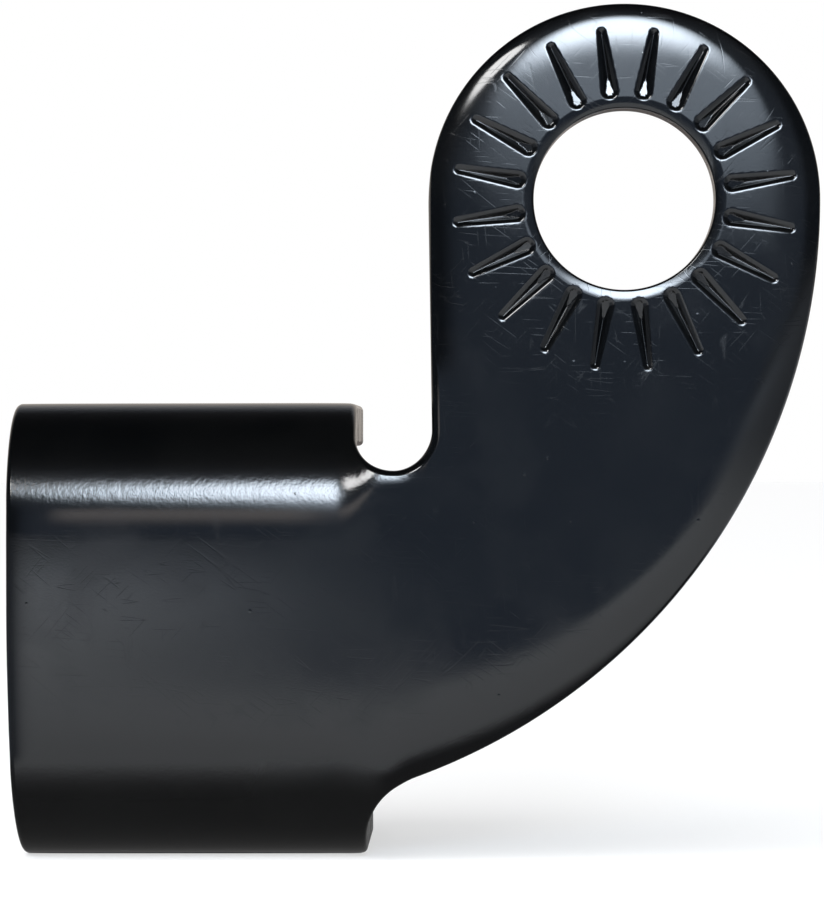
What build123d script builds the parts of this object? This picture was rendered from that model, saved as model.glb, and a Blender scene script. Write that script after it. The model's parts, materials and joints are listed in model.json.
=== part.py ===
from build123d import *
import os
from math import asin, cos, radians, sin

os.makedirs("parts", exist_ok=True)

# A trailer hitch for a bicycle's rear axle, punched and folded from one steel sheet.
# The origin is the axle hole's centre on the seat face. X runs from the channel towards the head,
# Y goes through the sheet from the seat face to the back, and Z is up. Sizes are in mm.

# The sheet and its edges, which the punch has rolled over on the seat side
sheet = 3.0
roll_front = 1.2
roll_back = 0.35

# The head with its axle hole, and the two edges of the neck
head_r = 13.4
axle_r = 6.2
axle_roll = 0.35
neck_lean = 0.8

# The channel that takes the trailer's tongue
channel_left = -42.4
channel_top = -13.8
channel_inside = 25.6
channel_depth = 25.4
corner_r = 5.0

# The folds, which tighten where they run out beside the neck
bend_inner = 4.6
bend_inner_end = 1.5
taper_start = -20.7
taper_steps = 4
web_overlap = 1.0

# The relief notch above the neck's root, and the relief below it
notch_r = 2.65
notch_past_bend = 0.3
foot_r = 4.2
foot_right = -17.8
foot_rise = 1.63

# The pin hole through both flanges, at the middle of the tongue
pin_r = 4.25
pin_roll = 0.4
tongue = 25.0

# The ring of bite grooves pressed into the seat face
groove_count = 20
groove_turn = -1.2
groove_land = 0.52
groove_end = 11.8
groove_wide = 0.53
groove_narrow = 0.25
groove_depth = 0.42
groove_lift = 0.2

# Sizes that follow from these
spare = 2.0
touch = 0.001
bend_outer = bend_inner + sheet
bend_outer_end = bend_inner_end + sheet
flange_root = bend_outer + web_overlap
inside_top = channel_top - sheet
inside_bottom = inside_top - channel_inside
channel_bottom = inside_bottom - sheet
channel_middle = (channel_top + channel_bottom) / 2

# The neck's inner edge touches the head's circle and the notch's circle
lean = radians(neck_lean)
notch_bottom = channel_top - bend_outer_end - notch_past_bend
notch_z = notch_bottom + notch_r
neck_run = (-notch_z - (head_r + notch_r) * sin(lean)) / cos(lean)
neck_top = (-head_r * cos(lean), -head_r * sin(lean))
neck_foot = (neck_top[0] + neck_run * sin(lean), neck_top[1] - neck_run * cos(lean))
notch_x = neck_foot[0] - notch_r * cos(lean)
notch_left = notch_x - notch_r

# Its outer edge sweeps from the head's side to the relief below, which turns it into the flange's end:
# one arc that touches both circles
foot_x = foot_right + foot_r
foot_z = channel_bottom + foot_rise
foot_run = head_r - foot_x
sweep_r = (foot_run**2 + foot_z**2 - foot_r**2) / (2 * (foot_run + foot_r))
sweep_x = head_r - sweep_r
share = sweep_r / (sweep_r + foot_r)
sweep_end = (sweep_x + (foot_x - sweep_x) * share, foot_z * share)
sweep_half = asin(-sweep_end[1] / sweep_r) / 2
sweep_mid = (sweep_x + sweep_r * cos(sweep_half), -sweep_r * sin(sweep_half))
foot_half = asin((sweep_end[1] - foot_z) / foot_r) / 2
foot_mid = (foot_x - foot_r * cos(foot_half), foot_z + foot_r * sin(foot_half))

pin_x = (channel_left + notch_left) / 2
pin_y = sheet + tongue / 2
groove_slope = groove_wide / groove_depth
groove_first = axle_r + groove_land + groove_wide
groove_last = groove_end - groove_narrow

# The tool that presses one groove: a V that narrows and rises outwards, with a cone at each end
with BuildPart() as groove:
    for x, half in ((groove_first, groove_wide), (groove_last, groove_narrow)):
        mouth = half + groove_slope * groove_lift
        with BuildSketch(Plane.YZ.offset(x)) as vee:
            with BuildLine() as vee_line:
                Polyline((-mouth, groove_lift), (0, -half / groove_slope), (mouth, groove_lift), close=True)
            make_face()
    loft()
    for x, half in ((groove_first, groove_wide), (groove_last, groove_narrow)):
        mouth = half + groove_slope * groove_lift
        with Locations((x, 0, groove_lift)):
            Cone(0, mouth, mouth / groove_slope, align=(Align.CENTER, Align.CENTER, Align.MAX))

with BuildPart() as hitch:
    # Flat plate of the web, the neck and the head
    with BuildSketch(Plane.XZ) as plate:
        plate_right = head_r + spare
        plate_parts = (
            (channel_left, channel_bottom + bend_outer, channel_top - bend_outer),
            (notch_x, channel_middle, plate_right),
            (foot_x, channel_bottom + bend_outer_end, channel_middle),
        )
        for left, low, high in plate_parts:
            with Locations((left, low)):
                Rectangle(plate_right - left, high - low, align=(Align.MIN, Align.MIN))
    extrude(amount=-sheet)

    # Two folds bent back from the web, one radius along the channel and a taper beside the neck
    for up, outer_z, fold_right in ((1, channel_top, notch_x), (-1, channel_bottom, foot_x)):
        inner_z = outer_z - up * sheet
        web_z = outer_z - up * (bend_outer + web_overlap)
        stations = [(channel_left, bend_inner)]
        for step in range(taper_steps + 1):
            part_way = step / taper_steps
            ease = part_way**2 * (3 - 2 * part_way)
            station_x = taper_start + part_way * (fold_right - taper_start)
            stations.append((station_x, bend_inner + ease * (bend_inner_end - bend_inner)))
        for station_x, inner_r in stations:
            outer_r = inner_r + sheet
            bend_z = outer_z - up * outer_r
            with BuildSketch(Plane.YZ.offset(station_x)) as section:
                with BuildLine() as fold_line:
                    CenterArc((outer_r, bend_z), outer_r, 135 - 45 * up, 90)
                    CenterArc((outer_r, bend_z), inner_r, 135 - 45 * up, 90)
                    Polyline((0, bend_z), (0, web_z), (sheet, web_z), (sheet, bend_z))
                    Polyline(
                        (outer_r, outer_z),
                        (flange_root, outer_z),
                        (flange_root, inner_z),
                        (outer_r, inner_z),
                    )
                make_face()
            if station_x == channel_left:
                extrude(amount=taper_start - channel_left)
        loft()

        # The flange itself
        with BuildSketch(Plane.YZ.offset(channel_left)) as flange:
            with Locations((flange_root, (outer_z + inner_z) / 2)):
                Rectangle(channel_depth - flange_root, sheet, align=(Align.MIN, Align.CENTER))
        extrude(amount=fold_right - channel_left)

    # All of it trimmed to the outline that the punch cut
    with BuildSketch(Plane.XZ.offset(spare)) as outline:
        with BuildLine() as edge:
            Polyline(
                (foot_right, foot_z),
                (foot_right, channel_bottom - spare),
                (channel_left, channel_bottom - spare),
                (channel_left, channel_top + spare),
                (notch_left, channel_top + spare),
                (notch_left, notch_z),
            )
            ThreePointArc((notch_left, notch_z), (notch_x, notch_bottom), neck_foot)
            Line(neck_foot, neck_top)
            ThreePointArc(neck_top, (0, head_r), (head_r, 0))
            ThreePointArc((head_r, 0), sweep_mid, sweep_end)
            ThreePointArc(sweep_end, foot_mid, (foot_right, foot_z))
        make_face()
    extrude(amount=-(channel_depth + 2 * spare), mode=Mode.INTERSECT)

    # Far corners of both flanges
    fillet(hitch.edges().filter_by(Axis.Z).group_by(Axis.Y)[-1], corner_r)

    # Rolled edges: the rim of each side is every edge that only one of its faces has
    sides = (
        (0, bend_outer, (channel_top, channel_bottom), roll_front),
        (sheet, bend_inner, (inside_top, inside_bottom), roll_back),
    )
    for face_y, bend_r, flange_zs, roll in sides:
        skin = hitch.faces().filter_by(Plane.XZ).filter_by_position(Axis.Y, face_y - touch, face_y + touch)
        for flange_z in flange_zs:
            flats = hitch.faces().filter_by(Plane.XY)
            skin += flats.filter_by_position(Axis.Z, flange_z - touch, flange_z + touch)
        rounds = hitch.faces().filter_by(GeomType.CYLINDER)
        skin += rounds.filter_by(lambda f: abs(f.radius - bend_r) < touch)
        tapers = hitch.faces().filter_by(GeomType.BSPLINE).sort_by(SortBy.AREA)[-4:].sort_by(Axis.Y)
        skin += tapers[:2] if face_y == 0 else tapers[2:]
        edges = [e for f in skin for e in f.edges()]
        rim = [e for e in edges if sum(e.is_same(other) for other in edges) == 1]
        fillet(rim, roll)

    # Axle hole through the head
    with BuildSketch(Plane.XZ) as axle:
        Circle(axle_r)
    extrude(amount=-sheet, mode=Mode.SUBTRACT)
    rings = hitch.edges().filter_by(GeomType.CIRCLE).filter_by(lambda e: abs(e.radius - axle_r) < touch)
    fillet(rings, axle_roll)

    # Pin hole through both flanges
    with BuildSketch(Plane.XY) as pin:
        with Locations((pin_x, pin_y)):
            Circle(pin_r)
    extrude(amount=channel_bottom - spare, mode=Mode.SUBTRACT)
    rings = hitch.edges().filter_by(GeomType.CIRCLE).filter_by(lambda e: abs(e.radius - pin_r) < touch)
    fillet(rings, pin_roll)

    # Bite grooves round the axle hole
    with Locations(Plane.XZ):
        with PolarLocations(0, groove_count, start_angle=180 / groove_count + groove_turn):
            add(groove.part, mode=Mode.SUBTRACT)

hitch.part.label = "hitch_bracket"
export_step(hitch.part, "parts/hitch_bracket.step")
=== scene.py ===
# %% [markdown]
# # A trailer hitch for a bicycle's axle
# The hitch is one piece of 3 mm steel. A blank is punched out, a ring of grooves is pressed round its
# hole, and two flanges are folded back to make a channel. Then it is painted glossy black.
# This lesson follows the same order, so that each surface has the form that its tool gave it.

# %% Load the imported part
import json
from collections import namedtuple
from math import atan2, cos, degrees, pi, radians, sin

import bmesh
import bpy
import numpy as np
from mathutils import Matrix, Vector
from mathutils.geometry import delaunay_2d_cdt
from mathutils.kdtree import KDTree


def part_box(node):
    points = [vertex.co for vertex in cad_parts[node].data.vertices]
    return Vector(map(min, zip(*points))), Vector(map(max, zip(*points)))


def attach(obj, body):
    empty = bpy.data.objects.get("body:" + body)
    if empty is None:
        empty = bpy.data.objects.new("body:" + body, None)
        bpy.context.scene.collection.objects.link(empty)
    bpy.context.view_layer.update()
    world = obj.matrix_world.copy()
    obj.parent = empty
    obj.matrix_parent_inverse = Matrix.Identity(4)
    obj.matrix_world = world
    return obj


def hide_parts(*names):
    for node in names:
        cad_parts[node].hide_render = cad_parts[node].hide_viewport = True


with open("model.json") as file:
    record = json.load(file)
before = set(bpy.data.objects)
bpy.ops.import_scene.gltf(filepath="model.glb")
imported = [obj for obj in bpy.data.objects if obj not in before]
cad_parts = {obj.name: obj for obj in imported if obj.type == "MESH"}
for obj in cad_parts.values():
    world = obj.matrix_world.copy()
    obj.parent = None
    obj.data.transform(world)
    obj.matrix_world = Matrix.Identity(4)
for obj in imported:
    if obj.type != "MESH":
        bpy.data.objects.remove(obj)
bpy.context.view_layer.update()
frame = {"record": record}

mm = 1000

# %% [markdown]
# ## Sizes
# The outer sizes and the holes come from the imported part, so that the mesh lies where the solid does. The
# rest are the sizes of its folds and edges. All are in millimetres, and the mesh is scaled to metres once,
# at the end.

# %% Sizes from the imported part
part_low, part_high = (np.array(corner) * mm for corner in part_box("hitch_bracket"))
channel_left, _, channel_bottom = part_low
head_r, channel_depth, _ = part_high
mounts = {mount["name"]: mount for mount in frame["record"]["mounts"]}
axle_r = mounts["axle_bore"]["dims"]["r_mm"]
pin_r = mounts["pin_bore"]["dims"]["r_mm"]
pin_x, pin_y, _ = (v * mm for v in mounts["pin_bore"]["pos_m"])
print(f"head radius {head_r:.2f}, axle hole {2 * axle_r:.1f}, pin hole {2 * pin_r:.1f}")

# %% Sizes of the sheet, the neck and the channel
sheet = 3.0
channel_high, corner_r = 31.6, 5.0
channel_top = channel_bottom + channel_high
neck_lean = radians(0.8)
notch_r, notch_deep = 2.65, 4.6
foot_r, foot_right, foot_rise = 5.3, -17.8, 0.9
print(f"channel from {channel_bottom:.2f} to {channel_top:.2f}")

# %% Circles that the outline is made of
notch_z = channel_top - notch_deep + notch_r
neck_run = (-notch_z - (head_r + notch_r) * sin(neck_lean)) / cos(neck_lean)
notch_x = -head_r * cos(neck_lean) + neck_run * sin(neck_lean) - notch_r * cos(neck_lean)
notch_left = notch_x - notch_r
foot_x, foot_z = foot_right + foot_r, channel_bottom + foot_rise
foot_run = head_r - foot_x
sweep_r = (foot_run**2 + foot_z**2 - foot_r**2) / (2 * (foot_run + foot_r))
sweep_x = head_r - sweep_r
sweep_turn = degrees(atan2(-foot_z, foot_x - sweep_x))
print(f"notch at ({notch_x:.2f}, {notch_z:.2f}), sweep radius {sweep_r:.2f}, pin hole at {pin_x:.2f}")

# %% [markdown]
# ## Fold the sheet
# A Simple Deform modifier bends everything by one radius, but these folds change along the channel. Their
# turn sets in gradually, their radius tightens towards the neck, and the upper one fades out past the notch.
# So a small function does what the press does. A point of the flat blank has a place x, a height s along the
# seat skin and a depth w in the sheet. Up to the bend line it stays flat. Past it, the skin turns a quarter
# circle and runs on straight.

# %% The fold
bend_outer, bend_onset = 7.6, 2.2
sudden = 1e-6
Fold = namedtuple("Fold", "up face taper_start run_out end_r fade")
upper = Fold(up=1, face=channel_top, taper_start=-20.1, run_out=notch_x, end_r=6.0, fade=notch_r)
lower = Fold(up=-1, face=channel_bottom, taper_start=-20.6, run_out=foot_x, end_r=4.5, fade=sudden)
folds = (upper, lower)


def ease(share):
    """Goes smoothly from 0 to 1 with its share."""
    share = np.clip(share, 0, 1)
    return share * share * (3 - 2 * share)


def fold_line(bend, x):
    """A fold's outer radius at x, its bend line's height, and how far before that the turn sets in."""
    share = np.clip((x - bend.taper_start) / (bend.run_out - bend.taper_start), 0, 1)
    taper = share**3 * (10 - 15 * share + 6 * share**2)
    r = bend_outer + (bend.end_r - bend_outer) * taper
    return r, bend.face - bend.up * r, bend_onset * (1 - taper) + sudden


def kept_share(bend, x):
    """How much of the turn is left at x: all of it as far as the fold's run-out, and then it fades."""
    return ease((bend.run_out + bend.fade - x) / bend.fade)


def fold(blank):
    """Where points (x, s, w) of the blank are after both flanges are folded back."""
    x, s, w = blank.T
    y, z = w.copy(), s.copy()
    for bend in folds:
        r, line, onset = fold_line(bend, x)
        kept = kept_share(bend, x)
        past = np.where(kept > 0, bend.up * (s - line), -2 * bend_onset)
        lead = np.clip(past + onset, 0, 2 * onset)
        early = past < onset
        angle = np.where(early, lead**2 / (4 * onset * r), np.clip(past / r, 0, pi / 2))
        turned_back = onset**2 / (6 * r) + r - r * np.cos(angle) + past - r * angle
        back = kept * np.where(early, lead**3 / (12 * onset * r), turned_back)
        rise = np.where(early, past - lead**5 / (160 * onset**2 * r**2), r * np.sin(angle))
        rise = past + kept * (rise - past)
        angle = kept * angle
        bent = past > -onset
        y = np.where(bent, back + w * np.cos(angle), y)
        z = np.where(bent, line + bend.up * (rise - w * np.sin(angle)), z)
    return np.stack([x, y, z], 1)


def bend_share(x, s):
    """0 on the flat sheet, 1 on a flange, and the part of the quarter turn in between."""
    share = np.zeros_like(x)
    for bend in folds:
        r, line, _ = fold_line(bend, x)
        turned = np.clip(bend.up * (s - line) / (r * pi / 2), 0, 1)
        share = np.maximum(share, kept_share(bend, x) * turned)
    return share


print("bend lines at", [round(float(fold_line(f, np.array(channel_left))[1]), 2) for f in folds])

# %% Heights of the seat skin
def flange_height(bend, x, y):
    """The height s in the blank of a point on a flange's skin, at depth y."""
    r, line, _ = fold_line(bend, np.asarray(x, float))
    return line + bend.up * (r * pi / 2 + y - r)


def bend_height(bend, x, z):
    """The height s in the blank of a point on the bend's skin, at height z."""
    r, line, _ = fold_line(bend, np.asarray(x, float))
    rise = np.clip(bend.up * (z - line), 0, r)
    return z + bend.up * kept_share(bend, x) * (r * np.arcsin(rise / r) - rise)


blank_top, blank_bottom = (float(flange_height(bend, pin_x, channel_depth)) for bend in folds)
print(f"blank is {blank_top - blank_bottom:.1f} high")

# %% [markdown]
# ## Punch the blank
# The outline is a chain of lines and arcs that touch, as a die maker draws it. A curve object could hold it,
# but where it crosses a fold, its height has to be measured along the skin, so it is made of points. The
# lower fold has drawn the channel's open end in a little, and that edge is not quite straight.

# %% Lines and arcs
edge_step, arc_step, arc_least = 0.35, 5, 6


def arc(centre, radius, start, end):
    """Points of an arc from start to end, in degrees, without its last point."""
    sweep = abs(end - start)
    count = max(arc_least, round(radians(sweep) * radius / edge_step), round(sweep / arc_step))
    turn = np.radians(np.linspace(start, end, count + 1)[:-1])
    return np.stack([centre[0] + radius * np.cos(turn), centre[1] + radius * np.sin(turn)], 1)


def line(start, end):
    """Points of a straight run without its last point."""
    start, end = np.array(start, float), np.array(end, float)
    count = max(2, round(np.linalg.norm(end - start) / edge_step))
    return start + (end - start) * np.linspace(0, 1, count + 1)[:-1, None]


def flange_end(bend, right):
    """The run round a flange's far end in the blank, from its channel end to its neck end."""
    far = channel_depth - corner_r
    run = np.concatenate([
        arc((channel_left + corner_r, far), corner_r, 180, 90),
        line((channel_left + corner_r, channel_depth), (right - corner_r, channel_depth)),
        arc((right - corner_r, far), corner_r, 90, 0),
        [[right, far]],
    ])
    return np.stack([run[:, 0], flange_height(bend, run[:, 0], run[:, 1])], 1)


print(f"a point every {edge_step} mm, or every {arc_step} degrees of a small arc")

# %% The outline of the blank
end_pull, end_pull_from, end_pull_run = 0.5, -28.0, 22.0
lean = degrees(neck_lean)
notch = arc((notch_x, notch_z), notch_r, 180, 360 + lean)
notch[:, 1] = bend_height(upper, *notch.T)
neck_top = (-head_r * cos(neck_lean), -head_r * sin(neck_lean))
neck_foot = (notch_x + notch_r * cos(neck_lean), notch_z + notch_r * sin(neck_lean))
foot = arc((foot_x, foot_z), foot_r, 180 - sweep_turn, 180)
foot[:, 1] = bend_height(lower, *foot.T)
foot_last = (foot_right, float(bend_height(lower, foot_right, foot_z)))
top_end, bottom_end = flange_end(upper, notch_left), flange_end(lower, foot_right)[::-1]
outline = np.concatenate([
    top_end,
    line(top_end[-1], notch[0])[1:],
    notch,
    line(neck_foot, neck_top),
    arc((0, 0), head_r, 180 + lean, 0),
    arc((sweep_x, 0), sweep_r, 0, -sweep_turn),
    foot,
    line(foot_last, bottom_end[0]),
    bottom_end,
    line(bottom_end[-1], top_end[0])[1:],
])
at_end = ease((pin_x - outline[:, 0]) / (pin_x - channel_left))
outline[:, 0] += end_pull * at_end * ease((end_pull_from - outline[:, 1]) / end_pull_run)
print("outline:", len(outline), "points")


# %% Directions along the outline
def outward_of(loop):
    """The direction out of the sheet at each point of a closed clockwise loop."""
    run = np.roll(loop, -1, 0) - np.roll(loop, 1, 0)
    run /= np.linalg.norm(run, axis=1)[:, None]
    return np.stack([-run[:, 1], run[:, 0]], 1)


def circle(centre, radius, count):
    """A hole's loop. It runs anticlockwise, so that its outward direction looks into the hole."""
    turn = np.linspace(0, 2 * pi, count, endpoint=False)
    return np.stack([centre[0] + radius * np.cos(turn), centre[1] + radius * np.sin(turn)], 1)


across, along = outline.T
area = 0.5 * np.sum(np.roll(across, -1) * along - across * np.roll(along, -1))
print(f"blank area {area:.0f} mm2")

# %% [markdown]
# ## Roll the rims
# A punch drags the sheet along as it goes in. Round the head and the neck, the seat face falls away over
# the last millimetres and then turns down round a small corner. The channel's end falls less, and the
# flanges hardly at all. The notch, which has a punch of its own, has a larger corner instead. A Bevel
# modifier gives one round edge everywhere. Rings laid along the outline can follow these falls, and each
# point of a ring knows its exact normal.

# %% How the seat face falls towards the edge
neck_fall, end_fall, flange_fall, notch_fall = 0.6, 0.3, 0.03, 0.04
neck_reach, end_reach, flange_reach = 1.15, 0.8, 1.5
small_roll, notch_roll = 0.4, 0.6
neck_start = -19.6
notch_zone, notch_blend = 2.6 * notch_r, 1.2 * notch_r
bend_blend = 8


def rim_shape(x, s):
    """The fall of the seat face at the nearest edge, the fall's reach, and the corner's radius."""
    at_neck = ease((x - neck_start) / (neck_foot[0] - neck_start))
    at_notch = ease((notch_zone - np.hypot(x - notch_x, s - notch_z)) / notch_blend)
    on_bend = ease(bend_blend * bend_share(x, s))
    fall = end_fall + (flange_fall - end_fall) * on_bend
    fall += (neck_fall - fall) * at_neck
    fall += (notch_fall - fall) * at_notch
    reach = end_reach + (flange_reach - end_reach) * on_bend
    reach += (neck_reach - reach) * at_neck
    return fall, reach, small_roll + (notch_roll - small_roll) * at_notch


def fallen(gap, x, s):
    """How far the seat face has fallen at that distance from the edge, and how steeply it falls there."""
    fall, reach, _ = rim_shape(x, s)
    depth = fall * np.exp(-gap / reach)
    return depth, depth / reach


channel_middle = (channel_top + channel_bottom) / 2
rim_places = np.array([(0, head_r), (channel_left, channel_middle), (notch_x, notch_z - notch_r)])
print("fall at the head, the channel's end and the notch:", rim_shape(*rim_places.T)[0].round(2))

# %% Profiles of the rims
rim_width = 1.1
settle_rounds = 20


def small_corner(radius, steps=6):
    """Inset, depth and tilt down a small round corner."""
    return [(radius * (1 - sin(t)), radius * (1 - cos(t)), t) for t in np.linspace(0, pi / 2, steps + 1)]


def fallen_corner(fallen_at, radius, steps=8):
    """Inset, depth and tilt down a corner at the end of a fall, and the inset where it starts."""
    inset = radius
    for _ in range(settle_rounds):
        meet = np.arctan(fallen_at(inset)[1])
        inset = radius * (1 - np.sin(meet))
    start = fallen_at(inset)[0]
    tilts = [meet + (pi / 2 - meet) * share for share in np.linspace(0, 1, steps)]
    corner = [(radius * (1 - np.sin(t)), start + radius * (np.cos(meet) - np.cos(t)), t) for t in tilts]
    return corner, inset


def rolled_edge(loop, steps=7):
    """The whole way down the punched edge: the fall of the seat face and then its corner."""
    out = outward_of(loop)
    corner, inset = fallen_corner(lambda gap: fallen(gap, *loop.T), rim_shape(*loop.T)[2])
    profile = []
    for share in np.arange(steps) / steps:
        gap = rim_width + (inset - rim_width) * share
        depth, slope = fallen(gap, *(loop - out * gap[:, None]).T)
        profile.append((gap, depth, np.arctan(slope)))
    return profile + corner


edge_profile = rolled_edge(outline)
print("the seat face's rim has", len(edge_profile), "rings")

# %% Rings over the rims
back_roll, pin_roll, pin_sides = 0.35, 0.4, 96
points, normals, faces, on_cut = [], [], [], []


def lay(places, looks, cut=0.0):
    """Adds points (x, s, w) with their normals and returns their numbers. cut is 1 on a punched edge."""
    first = len(points)
    points.extend(places)
    normals.extend(looks)
    on_cut.extend(np.broadcast_to(cut, len(places)))
    return list(range(first, len(points)))


def rim(loop, front, back):
    """Rings over a loop's edge from the seat face to the back, along two profiles."""
    out = outward_of(loop)
    rings = []
    sides = [(-1, step) for step in front] + [(1, step) for step in reversed(back)]
    for side, step in sides:
        inset, depth, tilt = (np.broadcast_to(v, len(loop)) for v in step)
        w = depth if side < 0 else sheet - depth
        look = np.column_stack([out * np.sin(tilt)[:, None], side * np.cos(tilt)])
        rings.append(lay(np.column_stack([loop - out * inset[:, None], w]), look, np.sin(tilt)))
    for a, b in zip(rings, rings[1:]):
        faces.extend(zip(a, b, b[1:] + b[:1], a[1:] + a[:1]))
    return rings[0], rings[-1]


edge_front, edge_back = rim(outline, edge_profile, small_corner(back_roll))
pin_heights = [float(flange_height(bend, pin_x, pin_y)) for bend in folds]
pin_loops = [circle((pin_x, height), pin_r, pin_sides) for height in pin_heights]
pin_rims = [rim(loop, small_corner(pin_roll), small_corner(pin_roll)) for loop in pin_loops]
print("rims:", len(points), "points")

# %% [markdown]
# ## Press the grooves
# Twenty V-shaped teeth of a punch leave the grooves that bite into the bicycle's frame beside the axle. A
# Boolean with a wedge would leave sharp, flat cuts. Here each point of the seat face sinks by a depth that
# depends on its distance from the groove's line. The sheet is drawn in beside the teeth, so the lips are
# wide and soft: there the lamp shows as a white line along each groove's lower lip. A groove's inner end
# is cut off by a flat slope, which mirrors the lamp as a small white triangle in the upper grooves.

# %% The seat face beside the axle hole
axle_roll, axle_fall, axle_width = 0.2, 0.125, 0.75


def axle_fallen(gap):
    """How far the seat face has fallen at that distance from the axle hole, and how steeply."""
    share = np.clip(1 - gap / axle_width, 0, 1)
    return axle_fall * share**1.5, 1.5 * axle_fall / axle_width * share**0.5


axle_corner, axle_inset = fallen_corner(axle_fallen, axle_roll)
print(f"the hole's corner starts {axle_inset:.2f} from its edge")

# %% Depth of the grooves
groove_count, groove_turn = 20, radians(-1.2)
groove_first, groove_last = 7.42, 11.5
groove_wide, groove_narrow, groove_deep = 0.45, 0.18, 0.42
groove_slope = groove_wide / groove_deep
groove_lip, groove_floor = 0.2, 0.05
nose_from, nose_deep, nose_slope = 8.3, 0.365, 0.15
pitch = 2 * pi / groove_count


def groove_sink(x, s):
    """How deep the teeth have pressed the seat face at a point round the axle hole."""
    turn = (np.arctan2(s, x) - groove_turn) % pitch - pitch / 2
    reach = np.hypot(x, s)
    along, across = reach * np.cos(turn), reach * np.sin(turn)
    held = np.clip(along, groove_first, groove_last)
    part_way = (held - groove_first) / (groove_last - groove_first)
    half = groove_wide + (groove_narrow - groove_wide) * part_way
    inside = half - (np.hypot(np.hypot(along - held, across), groove_floor) - groove_floor)
    nose = groove_slope * (nose_deep - nose_slope * (nose_from - along))
    inside = np.minimum(inside, nose)
    lip = np.clip(inside + groove_lip, 0, 2 * groove_lip) ** 2 / (4 * groove_lip)
    return np.where(inside > groove_lip, inside, lip) / groove_slope


groove_way = groove_turn + pitch / 2
sunk = groove_sink(nose_from * np.cos(groove_way), nose_from * np.sin(groove_way))
print(f"a groove is {sunk:.2f} deep where its slope starts")

# %% Distance from the outline
outline_tree = KDTree(len(outline))
for number, (x, s) in enumerate(outline):
    outline_tree.insert((x, s, 0), number)
outline_tree.balance()


def outline_gap(x, s):
    """Each point's distance from the outline, and the direction away from it."""
    place = np.stack([x, s], 1)
    nearest = np.array([outline_tree.find((*p, 0))[1] for p in place])
    best, away = np.full(len(place), np.inf), np.zeros_like(place)
    for first in (nearest - 1, nearest):
        start, end = outline[first], outline[(first + 1) % len(outline)]
        run = end - start
        share = np.clip(np.sum((place - start) * run, 1) / np.sum(run * run, 1), 0, 1)
        reach = place - start - run * share[:, None]
        gap = np.linalg.norm(reach, axis=1)
        closer = gap < best
        best[closer], away[closer] = gap[closer], (reach / gap[:, None])[closer]
    return best, away


axle_gap = outline_gap(np.zeros(1), np.zeros(1))[0][0]
print(f"the axle's middle is {axle_gap:.2f} from the edge")

# %% The pressed seat face
def press(x, s, step=1e-4):
    """Points and normals of the seat face, with its grooves and its fall towards the edge."""
    gap, away = outline_gap(x, s)
    depth, slope = fallen(gap, x, s)

    def pressed(x, s):
        return groove_sink(x, s) + axle_fallen(np.hypot(x, s) - axle_r)[0]

    slope_x = (pressed(x + step, s) - pressed(x - step, s)) / (2 * step)
    slope_s = (pressed(x, s + step) - pressed(x, s - step)) / (2 * step)
    look = np.stack([slope_x - slope * away[:, 0], slope_s - slope * away[:, 1], -np.ones(len(x))], 1)
    return np.stack([x, s, pressed(x, s) + depth], 1), look


below_ring, _ = press(np.zeros(1), np.array([-head_r]))
print(f"below the ring the seat face is flat, within {below_ring[0, 2]:.3f}")

# %% The ring of grooves
rows, columns = 44, 32
even, crowded = 0.45, 0.55
ring_in, ring_out = axle_r + axle_inset, 12.2
share = np.linspace(-1, 1, columns, endpoint=False)
offsets = pi / groove_count * (even * share + crowded * share**3)
turns = np.concatenate([groove_turn + (k + 0.5) * pitch + offsets for k in range(groove_count)])
hole = axle_r * np.stack([np.cos(turns), np.sin(turns)], 1)
hole_front, hole_back = rim(hole, axle_corner, small_corner(back_roll))
ring = hole_front
for reach in np.linspace(ring_in, ring_out, rows)[1:]:
    following = lay(*press(reach * np.cos(turns), reach * np.sin(turns)))
    faces.extend(zip(ring, following, following[1:] + following[:1], ring[1:] + ring[:1]))
    ring = following
groove_edge = ring
print("groove ring:", len(turns), "x", rows, "points")

# %% [markdown]
# ## Fill the two skins
# What is left is plain sheet between those loops. Blender's Grid Fill needs loops that match, so a
# constrained Delaunay triangulation fills it, which keeps every loop's edges. A grid of points inside gives
# the folds enough rows to turn smoothly.

# %% Holes to leave open
def round_holes(loops):
    """Centre and radius of each round loop."""
    holes = []
    for loop in loops:
        edge = np.array([points[k][:2] for k in loop])
        centre = (edge.min(0) + edge.max(0)) / 2
        holes.append((*centre, np.linalg.norm(edge[0] - centre)))
    return holes


front_loops = [edge_front, groove_edge] + [front for front, _ in pin_rims]
back_loops = [edge_back, hole_back] + [back for _, back in pin_rims]
print("radii of the holes in the back:", [round(float(r), 2) for _, _, r in round_holes(back_loops[1:])])

# %% Fill between the loops
front_grid, back_grid = 0.5, 0.8
clearance, same_place = 0.6, 1e-6


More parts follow.
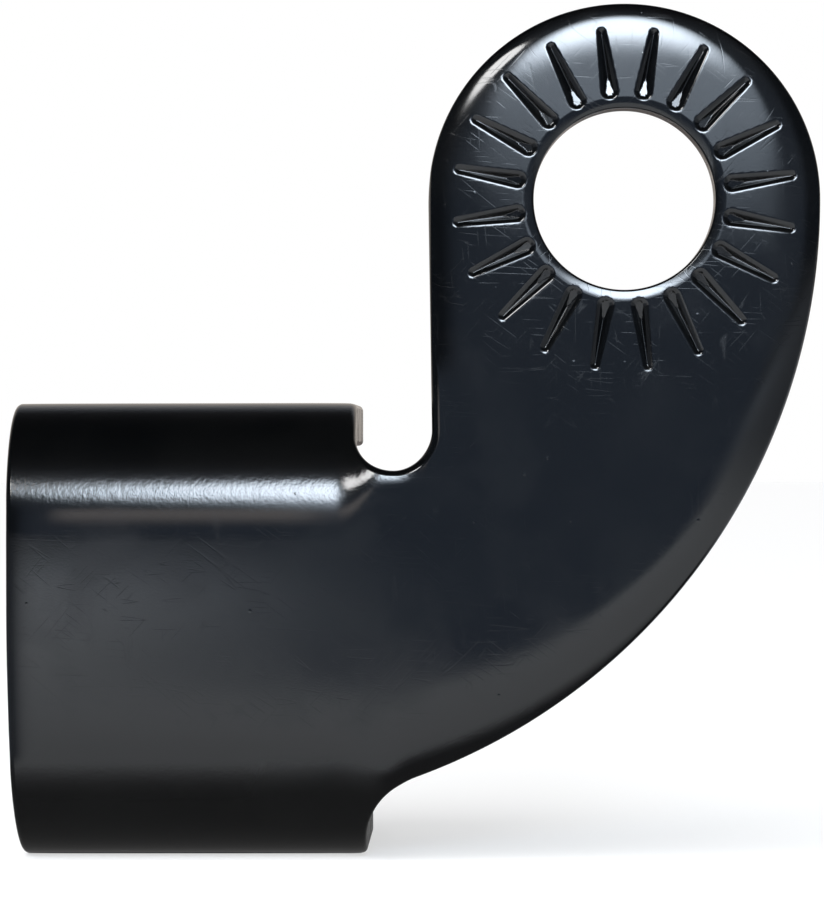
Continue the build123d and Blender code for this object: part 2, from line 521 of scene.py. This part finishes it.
def fill(loops, skin, grid):
    """Fills between an outer loop and its round holes, with a grid of points that the skin places."""
    edge = [k for loop in loops for k in loop]
    near = KDTree(len(edge))
    for k, number in enumerate(edge):
        near.insert((points[number][0], points[number][1], 0), k)
    near.balance()
    holes = round_holes(loops[1:])

    def in_sheet(x, s):
        return all(np.hypot(x - a, s - b) > r for a, b, r in holes)

    corners = np.array([points[k][:2] for k in loops[0]])
    low, high = corners.min(0), corners.max(0)
    inner = []
    for s in np.arange(low[1] + grid, high[1], grid):
        for x in np.arange(low[0] + grid, high[0], grid):
            if near.find((x, s, 0))[2] > clearance * grid and in_sheet(x, s):
                inner.append((x, s))
    links, start = [], 0
    for loop in loops:
        count = len(loop)
        links += [(start + k, start + (k + 1) % count) for k in range(count)]
        start += count
    flat = [Vector(points[k][:2]) for k in edge] + [Vector(p) for p in inner]
    made = delaunay_2d_cdt(flat, links, [], 1, same_place)
    triangles = []
    for triangle in made[2]:
        corners = [made[3][k][0] for k in triangle]
        if in_sheet(*(sum((flat[k] for k in corners), Vector((0, 0))) / 3)):
            triangles.append(corners)
    used = sorted({k for corners in triangles for k in corners if k >= len(edge)})
    numbers = dict(enumerate(edge))
    numbers.update(zip(used, lay(*skin(*np.array([flat[k] for k in used]).T))))
    faces.extend(tuple(numbers[k] for k in corners) for corners in triangles)
    return len(triangles)


print("seat face filled with", fill(front_loops, press, front_grid), "triangles")


# %% The back
def back_skin(x, s):
    """Points and normals of the plain back."""
    return np.stack([x, s, np.full(len(x), sheet)], 1), np.tile((0.0, 0.0, 1.0), (len(x), 1))


print("back filled with", fill(back_loops, back_skin, back_grid), "triangles")

# %% [markdown]
# ## Bend it and make the mesh
# The points go through the fold, and the normals with them: a normal turns by the inverse of the way the
# fold stretches the space round its point. The mesh gets these normals, so that the gloss runs smoothly from
# the flat faces over the rims, where Blender's averaged normals would smear it. Each point also keeps its
# place in the flat blank, so that the paint's texture can run round the folds without a seam.

# %% The folded mesh
blank = np.array([tuple(p) for p in points], float)
looks = np.array([tuple(n) for n in normals], float)
step = 1e-4
stretch = np.stack(
    [(fold(blank + step * axis) - fold(blank - step * axis)) / (2 * step) for axis in np.eye(3)], 2
)
turned = np.einsum("nij,ni->nj", np.linalg.inv(stretch), looks)
turned /= np.linalg.norm(turned, axis=1)[:, None]

body = bpy.data.meshes.new("hitch_plate")
body.from_pydata((fold(blank) / mm).tolist(), [], faces)
body.validate()
work = bmesh.new()
work.from_mesh(body)
bmesh.ops.recalc_face_normals(work, faces=work.faces)
work.to_mesh(body)
work.free()
body.shade_smooth()
body.normals_split_custom_set_from_vertices(turned.tolist())
print("folded:", len(body.polygons), "faces")

# %% The piece, and what the paint needs to know of each point
for name, kind, field, values in (
    ("blank", "FLOAT_VECTOR", "vector", blank),
    ("bend", "FLOAT", "value", bend_share(*blank[:, :2].T)),
):
    body.attributes.new(name, kind, "POINT").data.foreach_set(field, values.ravel())

hitch = bpy.data.objects.new("hitch_plate", body)
bpy.context.scene.collection.objects.link(hitch)
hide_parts("hitch_bracket")
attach(hitch, "root")
body.calc_loop_triangles()
print("hitch:", len(body.vertices), "vertices,", len(body.loop_triangles), "triangles")

# %% [markdown]
# ## Helpers for nodes
# Shader nodes are long to write out one by one. One helper makes a node and takes its inputs as either
# values or the sockets that feed them, and another makes a node group with named sockets.

# %% Node helpers
def node(tree, kind, inputs=None, **settings):
    """Adds a shader node. An input that is a socket is linked, and any other is set."""
    made = tree.nodes.new("ShaderNode" + kind)
    for name, value in settings.items():
        setattr(made, name, value)
    for key, value in (inputs or {}).items():
        if isinstance(value, bpy.types.NodeSocket):
            tree.links.new(value, made.inputs[key])
        else:
            made.inputs[key].default_value = value
    return made


def sums(tree, operation, a, b, clamp=False):
    """The result of a Math node."""
    return node(tree, "Math", {0: a, 1: b}, operation=operation, use_clamp=clamp).outputs[0]


def times(tree, a, b):
    """The product of two values."""
    return sums(tree, "MULTIPLY", a, b)


def vector(tree, operation, a, b=(0, 0, 0), result="Vector"):
    """The result of a Vector Math node."""
    return node(tree, "VectorMath", {0: a, 1: b}, operation=operation).outputs[result]


def noise(tree, place, size, detail, **more):
    """A noise texture whose lumps are about that large."""
    inputs = {"Vector": place, "Scale": sums(tree, "DIVIDE", 1.0, size), "Detail": detail}
    return node(tree, "TexNoise", {**inputs, **more}).outputs[0]


def between(tree, value, low, high, to_low=0.0, to_high=1.0):
    """A value that goes smoothly from one number to another between two limits."""
    limits = {"Value": value, "From Min": low, "From Max": high, "To Min": to_low, "To Max": to_high}
    return node(tree, "MapRange", limits, interpolation_type="SMOOTHSTEP").outputs[0]


def blend(tree, share, first, second):
    """A colour that goes from the first to the second with its share."""
    inputs = {"Factor": share, "A": first, "B": second}
    return node(tree, "Mix", inputs, data_type="RGBA").outputs["Result"]


print("nodes of Blender", bpy.app.version_string)


# %% Node groups
def group(name, sockets, result):
    """A node group with named inputs and one output, and its tree's own input and output sockets."""
    tree = bpy.data.node_groups.new(name, "ShaderNodeTree")
    for label, value in sockets.items():
        kind = "NodeSocketVector" if value is None else "NodeSocketFloat"
        socket = tree.interface.new_socket(label, in_out="INPUT", socket_type=kind)
        if value is not None:
            socket.default_value = value
    tree.interface.new_socket(result, in_out="OUTPUT", socket_type="NodeSocketFloat")
    return tree, tree.nodes.new("NodeGroupInput").outputs, tree.nodes.new("NodeGroupOutput").inputs


def use(tree, name, **inputs):
    """The output of a node group placed in a material."""
    placed = node(tree, "Group", node_tree=bpy.data.node_groups[name])
    for label, value in inputs.items():
        socket = placed.inputs[label.replace("_", " ")]
        if isinstance(value, bpy.types.NodeSocket):
            tree.links.new(value, socket)
        else:
            socket.default_value = value
    return placed.outputs[0]


print("node groups so far:", len(bpy.data.node_groups))

# %% [markdown]
# ## Orange peel
# Sprayed paint dries with a fine ripple. It can't be seen by itself, but it breaks up the edge of every
# highlight. Two noises make it: a grain of a few tenths of a millimetre and a broader swell. It is a group
# because the faces, the stretched folds and the cut edges all have it, at different sizes and strengths.

# %% Orange peel group
peel_sockets = {"Place": None, "Grain": 0.25, "Swell": 1.2, "Swell share": 0.5}
tree, given, out = group("orange_peel", peel_sockets, "Height")
fine = noise(tree, given["Place"], given["Grain"], 2.0, Roughness=0.55)
swell = times(tree, noise(tree, given["Place"], given["Swell"], 1.0), given["Swell share"])
tree.links.new(sums(tree, "ADD", fine, swell), out["Height"])
print("orange peel:", len(tree.nodes), "nodes")

# %% [markdown]
# ## Hairlines
# Handling leaves hair-thin scratches, most of them round the hole, where washers and spanners touch. A
# picture of scratches could be painted, but the level lines of a stretched noise are just such long thin
# lines. A second noise breaks them up.

# %% Hairline group
line_stretch = (0.06, 1, 1)
patch_scale, patch_bare, patch_full = 0.45, 0.5, 0.62
line_sockets = {"Place": None, "Heading": 0.0, "Spacing": 0.8, "Width": 0.01}
tree, given, out = group("hairlines", line_sockets, "Lines")
aim = {"Vector": given["Place"], "Angle": given["Heading"]}
aimed = node(tree, "VectorRotate", aim, rotation_type="Z_AXIS").outputs[0]
level = noise(tree, vector(tree, "MULTIPLY", aimed, line_stretch), given["Spacing"], 0.0)
off = sums(tree, "ABSOLUTE", sums(tree, "SUBTRACT", level, 0.5), 0.0)
thin = node(tree, "MapRange", {"Value": off, "From Min": given["Width"], "From Max": 0.0})
patch = node(tree, "TexNoise", {"Vector": aimed, "Scale": patch_scale, "Detail": 1.0})
broken = between(tree, patch.outputs[0], patch_bare, patch_full)
tree.links.new(sums(tree, "MULTIPLY", thin.outputs[0], broken, True), out["Lines"])
print("hairlines:", len(tree.nodes), "nodes")

# %% [markdown]
# ## Specks
# Dust that settled in the wet paint leaves small pimples. They could be modelled one by one, but each cell
# of a Voronoi texture has one point, and a random number per cell decides whether a speck is there and how
# large it is.

# %% Speck group
tree, given, out = group("specks", {"Place": None, "Spacing": 2.0, "Size": 0.05}, "Mask")
density = sums(tree, "DIVIDE", 1.0, given["Spacing"])
cells = node(tree, "TexVoronoi", {"Vector": given["Place"], "Scale": density})
chance = node(tree, "SeparateColor", {0: cells.outputs["Color"]})
radius = times(tree, between(tree, chance.outputs[0], 0.4, 1.0), given["Size"])
mask = node(tree, "MapRange", {"Value": cells.outputs["Distance"], "From Min": radius, "From Max": 0.0})
tree.links.new(mask.outputs[0], out["Mask"])
print("specks:", len(tree.nodes), "nodes")

# %% [markdown]
# ## Smudges
# Hands and dust leave cloudy areas that are a little duller than the rest. A distorted noise with a soft
# threshold gives clouds without a repeat.

# %% Smudge group
tree, given, out = group("smudges", {"Place": None, "Size": 6.0}, "Mask")
cloud = noise(tree, given["Place"], given["Size"], 4.0, Roughness=0.6, Distortion=0.6)
tree.links.new(between(tree, cloud, 0.4, 0.68), out["Mask"])
print("smudges:", len(tree.nodes), "nodes")

# %% [markdown]
# ## The black coat
# The paint is a smooth black enamel. It hides the steel's colour, so the base is almost black and the look
# comes from its gloss. A clearcoat over a black base would look alike, but one glossy layer is enough. The
# heights of the ripple, scratches and specks are summed in micrometres, and one Bump node with a distance of
# one micrometre turns them into a normal. Where a fold has stretched the sheet, the ripple is coarser and
# the gloss duller, which breaks up the lamp's white band.

# %% Ripple of the coat
micrometre = 1e-6
peel_low, peel_high, crackle_high = 0.6, 2.6, 7.0


def attribute(tree, name, output):
    """A value that each point of the mesh carries."""
    return node(tree, "Attribute", attribute_name=name).outputs[output]


def paint(name):
    """A new material with its node tree, its shader and the place of each point in the blank."""
    made = bpy.data.materials.new(name)
    made.use_nodes = True
    tree = made.node_tree
    return made, tree, tree.nodes["Principled BSDF"], attribute(tree, "blank", "Vector")


coat, tree, shader, place = paint("black_coat")
turned_by = attribute(tree, "bend", "Fac")
stretched = times(tree, between(tree, turned_by, 0.0, 0.12), between(tree, turned_by, 1.0, 0.8))
peel = use(tree, "orange_peel", Place=place, Grain=0.14, Swell=1.4, Swell_share=0.8)
ripple = times(tree, peel, between(tree, stretched, 0.0, 1.0, peel_low, peel_high))
crackle = use(tree, "orange_peel", Place=place, Grain=0.24, Swell=0.7, Swell_share=0.8)
ripple = sums(tree, "ADD", ripple, times(tree, crackle, times(tree, stretched, crackle_high)))
print("ripple:", len(tree.nodes), "nodes")

# %% Scratches, specks and smudges
scratch_deep, speck_high = 1.3, 10.0
handled_in, handled_out, scratched_least = 11.0, 17.0, 0.4
in_plane = (1, 1, 0)
scratch = None
for heading, spacing in ((0.65, 0.8), (2.3, 0.9), (1.5, 1.2), (0.05, 0.7)):
    lines = use(tree, "hairlines", Place=place, Heading=heading, Spacing=spacing, Width=0.016)
    scratch = lines if scratch is None else sums(tree, "MAXIMUM", scratch, lines)
from_axle = vector(tree, "LENGTH", vector(tree, "MULTIPLY", place, in_plane), result="Value")
scratch = times(tree, scratch, between(tree, from_axle, handled_in, handled_out, 1.0, scratched_least))
speck = use(tree, "specks", Place=place, Spacing=1.7, Size=0.09)
smudge = use(tree, "smudges", Place=place, Size=7.0)
height = sums(tree, "SUBTRACT", ripple, times(tree, scratch, scratch_deep))
height = sums(tree, "ADD", height, times(tree, speck, speck_high))
print("with scratches and specks:", len(tree.nodes), "nodes")

# %% Gloss and colour of the coat
smudge_dulls, fold_dulls = 0.4, 0.5
paint_ior = 1.5


def finish_paint(made, tree, shader, height, colour, roughness):
    """Feeds a paint's shader and gives the paint to the hitch."""
    bump = node(tree, "Bump", {"Height": height, "Distance": micrometre, "Strength": 1.0})
    tree.links.new(colour, shader.inputs["Base Color"])
    tree.links.new(roughness.outputs[0], shader.inputs["Roughness"])
    tree.links.new(bump.outputs[0], shader.inputs["Normal"])
    shader.inputs["IOR"].default_value = paint_ior
    body.materials.append(made)


dull = sums(tree, "MAXIMUM", scratch, times(tree, smudge, smudge_dulls))
rough = sums(tree, "MAXIMUM", dull, times(tree, stretched, fold_dulls))
rough = node(tree, "MapRange", {"Value": rough, "To Min": 0.075, "To Max": 0.2})
tint = blend(tree, dull, (0.0009, 0.001, 0.0011, 1), (0.0026, 0.0026, 0.0025, 1))
finish_paint(coat, tree, shader, height, tint, rough)
print("face coat:", len(tree.nodes), "nodes")

# %% [markdown]
# ## The coat on the cut edge
# The punch tears the last part of the sheet, and the paint follows the marks: fine ridges across the edge,
# and a duller gloss. The ridges could be cut into the mesh, but they are only micrometres high. They are a
# ripple that hardly changes through the sheet's thickness.

# %% Coat on the cut edges
ridge_high, cut_peel_high = 7.0, 4.0
along_cut = (1.0, 1.0, 0.12)
upright = 0.93
cut_coat, tree, shader, place = paint("black_coat_on_cut")
across = vector(tree, "MULTIPLY", place, along_cut)
ridges = use(tree, "orange_peel", Place=across, Grain=0.16, Swell=0.7, Swell_share=1.0)
peel = use(tree, "orange_peel", Place=place, Grain=0.2, Swell=1.1, Swell_share=1.0)
smudge = use(tree, "smudges", Place=place, Size=2.5)
height = sums(tree, "ADD", times(tree, ridges, ridge_high), times(tree, peel, cut_peel_high))
rough = node(tree, "MapRange", {"Value": smudge, "To Min": 0.16, "To Max": 0.3})
tint = blend(tree, smudge, (0.0025, 0.0025, 0.0025, 1), (0.012, 0.0105, 0.0095, 1))
finish_paint(cut_coat, tree, shader, height, tint, rough)
cut_faces = [face for face in body.polygons if min(on_cut[k] for k in face.vertices) > upright]
for face in cut_faces:
    face.material_index = 1
print("cut-edge coat on", len(cut_faces), "faces")

# %% [markdown]
# ## Table
# The part stands on a white table. The camera sees it lifted towards white, with the part's shadow on it. A
# glossy black part also mirrors the table, and there it has to look as a studio's table does: bright in
# front of the part, and darker at its far end and at its sides, where less light falls. That shade is
# painted shade, put into the table's colour for mirrored rays only. A Light Path node tells the two apart.

# %% Table
room_blue = (0.26, 0.34, 0.48, 1)
table_painted_shade = (0.2, 0.215, 0.24, 1)
table_lift = 0.62


def plane(name, corners):
    """A flat piece of the stage."""
    mesh = bpy.data.meshes.new(name)
    mesh.from_pydata(corners, [], [range(len(corners))])
    thing = bpy.data.objects.new(name, mesh)
    bpy.context.scene.collection.objects.link(thing)
    return thing


def surface_of(thing, name):
    """Gives a stage piece a new material and returns its node tree and the parts of its place."""
    made = bpy.data.materials.new(name)
    made.use_nodes = True
    thing.data.materials.append(made)
    tree = made.node_tree
    place = node(tree, "TexCoord").outputs["Object"]
    return tree, place, node(tree, "SeparateXYZ", {0: place}).outputs


floor = channel_bottom / mm
table = plane("table", [(-2, -1.6, floor), (2, -1.6, floor), (2, 3, floor), (-2, 3, floor)])
tree, _, stand = surface_of(table, "white_table")
shader = tree.nodes["Principled BSDF"]
shader.inputs["Roughness"].default_value = 0.9
shader.inputs["Specular IOR Level"].default_value = 0.0
print("table at", round(floor * mm, 2), "mm")

# %% The table in mirrors
table_white = (0.96, 0.96, 0.96, 1)
end_dark, end_lit = -0.84, -0.49
slant_dark, slant_lit = 0.65, 0.15
front_share, side_share = 0.76, 0.08
least_ahead = 0.001
ray = node(tree, "LightPath").outputs
ahead = sums(tree, "MAXIMUM", times(tree, stand["Y"], -1.0), least_ahead)
leftward = sums(tree, "DIVIDE", sums(tree, "SUBTRACT", channel_left / mm, stand["X"]), ahead)
aside = times(tree, between(tree, stand["X"], 0.02, 0.11), between(tree, stand["Y"], 0.0, -0.04))
lit_share = between(tree, aside, 0.0, 1.0, front_share, side_share)
lit = times(tree, between(tree, stand["Y"], end_dark, end_lit), lit_share)
lit = times(tree, lit, between(tree, leftward, slant_dark, slant_lit))
# Painted shade: for mirrored rays, the table's colour darkens where less light falls.
painted_shade = times(tree, ray["Is Glossy Ray"], sums(tree, "SUBTRACT", 1.0, lit))
tree.links.new(blend(tree, painted_shade, table_white, table_painted_shade), shader.inputs["Base Color"])
seen = times(tree, ray["Is Camera Ray"], table_lift)
glow = node(tree, "Emission")
lifted = node(tree, "MixShader", {0: seen, 1: shader.outputs[0], 2: glow.outputs[0]})
tree.links.new(lifted.outputs[0], tree.nodes["Material Output"].inputs["Surface"])
print("table:", len(tree.nodes), "nodes")

# %% [markdown]
# ## Cards and painted shadows
# A photographer of glossy things places pale cards and dark flags round them, so that each face has
# something to mirror. Two dark sheets on the table here are painted shadows: they stand for the part's
# shadow in front of its head and for the shade on the floor under its channel, as mirrors see them. All of
# these could be real objects, but they are seen by reflections only, so that they throw no shadow and don't
# stand in the picture. Their soft edges are in their material.

# %% Cards that only reflections see
def card(name, corners, colour, soft):
    """A card between two opposite corners, with soft left, right, near and far edges."""
    (x0, y0, z0), (x1, y1, z1) = corners
    standing = y0 == y1
    thing = plane(name, [corners[0], (x1, y0, z0), corners[1], (x0, y1, z1)])
    thing.visible_camera = thing.visible_diffuse = thing.visible_shadow = False
    tree, _, spot = surface_of(thing, name)
    rise, low, high = (spot["Z"], z0, z1) if standing else (spot["Y"], y0, y1)
    left, right, near, far = soft
    cover = between(tree, spot["X"], x0, x0 + left)
    for value, start, end in (
        (spot["X"], x1, x1 - right),
        (rise, low, low + near),
        (rise, high, high - far),
    ):
        cover = times(tree, cover, between(tree, value, start, end))
    clear = node(tree, "BsdfTransparent")
    tone = node(tree, "Emission", {"Color": colour})
    mix = node(tree, "MixShader", {0: cover, 1: clear.outputs[0], 2: tone.outputs[0]})
    tree.links.new(mix.outputs[0], tree.nodes["Material Output"].inputs["Surface"])
    print(name, "is", round(x1 - x0, 3), "m wide")


# %% The cards in front of the part
camera_y, fold_y = -0.19, -0.05
camera_corners = ((-0.07, camera_y, floor - 0.002), (0.065, camera_y, 0.016))
card("camera_card", camera_corners, room_blue, (0.06, 0.035, 0.004, 0.012))
fold_corners = ((-0.047, fold_y, -0.0215), (-0.0205, fold_y, -0.0115))
card("fold_card", fold_corners, (1.6, 1.52, 1.52, 1), (0.004, 0.005, 0.006, 0.003))

# %% Painted shadows on the table, and a cloth behind
lift = 0.0001
low_on_table, high_on_table = floor + lift, floor + 2 * lift
# Painted shadow: a dark sheet in front of the head, where mirrors see the head's shadow on the table.
head_shadow_corners = ((-0.026, -0.03, low_on_table), (0.05, 0.03, low_on_table))
card("head_painted_shadow", head_shadow_corners, (0.15, 0.15, 0.16, 1), (0.012, 0.02, 0.02, 0.01))
# Painted shade: a dark sheet under and in front of the channel, where the lower fold mirrors shaded floor.
channel_shadow_corners = ((-0.085, -0.022, high_on_table), (0.0, 0.05, high_on_table))
card("channel_painted_shadow", channel_shadow_corners, (0.17, 0.17, 0.17, 1), (0.02, 0.014, 0.02, 0.01))
cloth_corners = ((-1.2, 0.12, low_on_table), (1.2, 2.8, low_on_table))
card("back_cloth", cloth_corners, (0.16, 0.14, 0.13, 1), (0.1, 0.1, 0.1, 0.1))

# %% [markdown]
# ## The room
# The camera sees a white backdrop. In mirrors the room is bluish and dim near the table and almost black
# above, with darker sides and a warm pale wall behind the part, which shows on faces that are seen at a low
# angle. A photographed environment could give all this, but a few smooth ramps are plainer.

# %% The room
room_dark = (0.003, 0.003, 0.004, 1)
wall_warm = (0.57, 0.52, 0.475, 1)
world = bpy.data.worlds.new("studio")
bpy.context.scene.world = world
world.use_nodes = True
tree = world.node_tree
way = node(tree, "SeparateXYZ", {0: node(tree, "TexCoord").outputs["Generated"]}).outputs
heights = node(tree, "ValToRGB", {"Fac": way["Z"]})
stops = heights.color_ramp.elements
stops[0].color = room_blue
stops[1].color = room_dark
for high_up, colour in (
    (0.5, (0.26, 0.3, 0.36, 1)),
    (0.75, (0.055, 0.055, 0.06, 1)),
    (0.9, (0.02, 0.02, 0.022, 1)),
):
    stops.new(high_up).color = colour
left_dark = between(tree, way["X"], -0.5, -0.08, 0.2, 1.0)
right_dark = between(tree, way["X"], 0.58, 0.36, 0.25, 1.0)
dark = times(tree, left_dark, right_dark)
room = node(tree, "Background", {"Color": heights.outputs["Color"], "Strength": dark})
print("room:", len(stops), "heights")

# %% The wall and the backdrop
ray = node(tree, "LightPath").outputs
behind = times(tree, between(tree, way["Y"], 0.2, 0.6), between(tree, way["Z"], 0.74, 0.22))
by_mirror = sums(tree, "MAXIMUM", ray["Is Glossy Ray"], ray["Is Transmission Ray"])
mirrored = times(tree, by_mirror, behind)
wall = node(tree, "Background", {"Color": wall_warm})
backdrop = node(tree, "Background", {"Color": (1, 1, 1, 1)})
inside = node(tree, "MixShader", {0: mirrored, 1: room.outputs[0], 2: wall.outputs[0]})
seen = node(tree, "MixShader", {0: ray["Is Camera Ray"], 1: inside.outputs[0], 2: backdrop.outputs[0]})
tree.links.new(seen.outputs[0], tree.nodes["World Output"].inputs["Surface"])
print("world:", len(tree.nodes), "nodes")

# %% [markdown]
# ## Light
# A round softbox above the camera makes the bright band on the upper fold and the patch at the head's top.
# An area lamp has a hard edge, so it is a plane with a glow that fades outwards and a faint halo, as a
# diffuser has. A smaller lamp on the left draws the arc on the head's rim. A broad light from above, in
# front and on the left whitens the table, and the part's shadow falls to the right and behind it.

# %% Where a lamp hangs
middle = Vector((-0.0145, 0.005, -0.0171))
lamp_far = 0.8


def hang(thing, turn, rise):
    """Turns a lamp to the part, at an angle from the front and above the table, in degrees."""
    turn, rise = radians(turn), radians(rise)
    away = Vector((sin(turn) * cos(rise), -cos(turn) * cos(rise), sin(rise)))
    thing.location = middle + away * lamp_far
    thing.rotation_mode = "QUATERNION"
    thing.rotation_quaternion = away.to_track_quat("-Z", "Y")
    return [round(v, 2) for v in thing.location]


# %% The softbox above the camera
Glow = namedtuple("Glow", "centre shape inner outer strength tint")
core = Glow((0, 1.0, 0), (1, 1, 1), 4.5, 14.0, 26.0, (0.86, 0.97, 1.09, 1))
halo = Glow((-2.0, -2.6, 0), (1.35, 1, 1), 13.2, 17.4, 3.2, (0.8, 0.94, 1.1, 1))
softbox_spread = radians(24)
half = lamp_far * sin(softbox_spread)
softbox = plane("softbox", [(-half, -half, 0), (half, -half, 0), (half, half, 0), (-half, half, 0)])
softbox.visible_camera = False
print("softbox", round(2 * half, 2), "m wide at", hang(softbox, 2.5, 22.0))

# %% The softbox's glow, in degrees from its middle as the part sees it
tree, place, _ = surface_of(softbox, "diffuser")
to_degrees = {0: place, "Scale": degrees(1 / lamp_far)}
spot = node(tree, "VectorMath", to_degrees, operation="SCALE").outputs[0]
lamp = node(tree, "BsdfTransparent").outputs[0]
for glow in (core, halo):
    off = vector(tree, "MULTIPLY", vector(tree, "SUBTRACT", spot, glow.centre), glow.shape)
    away = vector(tree, "LENGTH", off, result="Value")
    strength = between(tree, away, glow.outer, glow.inner, 0.0, glow.strength)
    shine = node(tree, "Emission", {"Color": glow.tint, "Strength": strength})
    lamp = node(tree, "AddShader", {0: lamp, 1: shine.outputs[0]}).outputs[0]
tree.links.new(lamp, tree.nodes["Material Output"].inputs["Surface"])
print("diffuser:", len(tree.nodes), "nodes")

# %% The side lamp and the light from above
side_spread, side_radiance = radians(13), 20.0
side = bpy.data.lights.new("side_lamp", "AREA")
side.shape = "DISK"
side.size = 2 * lamp_far * sin(side_spread / 2)
side.energy = side_radiance * pi * pi * (side.size / 2) ** 2
side_lamp = bpy.data.objects.new("side_lamp", side)
hang(side_lamp, -21, 27)
side_lamp.rotation_quaternion = (middle - side_lamp.location).to_track_quat("-Z", "Y")
side_lamp.visible_camera = False
bpy.context.scene.collection.objects.link(side_lamp)
above = bpy.data.lights.new("above", "SUN")
above.energy = 3.5
above.angle = radians(50)
broad_light = bpy.data.objects.new("above", above)
broad_light.rotation_mode = "QUATERNION"
broad_light.rotation_quaternion = Vector((0.4, 0.6, -1)).to_track_quat("-Z", "Y")
broad_light.visible_glossy = False
bpy.context.scene.collection.objects.link(broad_light)
print("side lamp gives", round(side.energy, 2), "W")

# %% [markdown]
# ## Camera
# The photo looks straight at the seat face from about 27 cm, one degree from the right. A longer lens from
# further away would hide the flange's end beside the notch. The focal length follows from that distance and
# the part's size in the picture, which is 897 pixels high.

# %% Camera
image_high, focal_px = 897, 3950
view_far, view_turn, view_roll = 0.26972, radians(1.0), radians(-0.11)
target = Vector((-0.014538, 0, -0.017009))
camera = bpy.data.cameras.new("camera")
camera.lens = camera.sensor_width * focal_px / image_high
eye = bpy.data.objects.new("camera", camera)
eye.location = target + Vector((sin(view_turn), -cos(view_turn), 0)) * view_far
roll = Matrix.Rotation(view_roll, 3, "Z").to_quaternion()
eye.rotation_mode = "QUATERNION"
eye.rotation_quaternion = (target - eye.location).to_track_quat("-Z", "Y") @ roll
bpy.context.scene.collection.objects.link(eye)
bpy.context.scene.camera = eye
bpy.context.scene.view_settings.view_transform = "Standard"
print("camera at", [round(v, 4) for v in eye.location], "lens", round(camera.lens, 1))
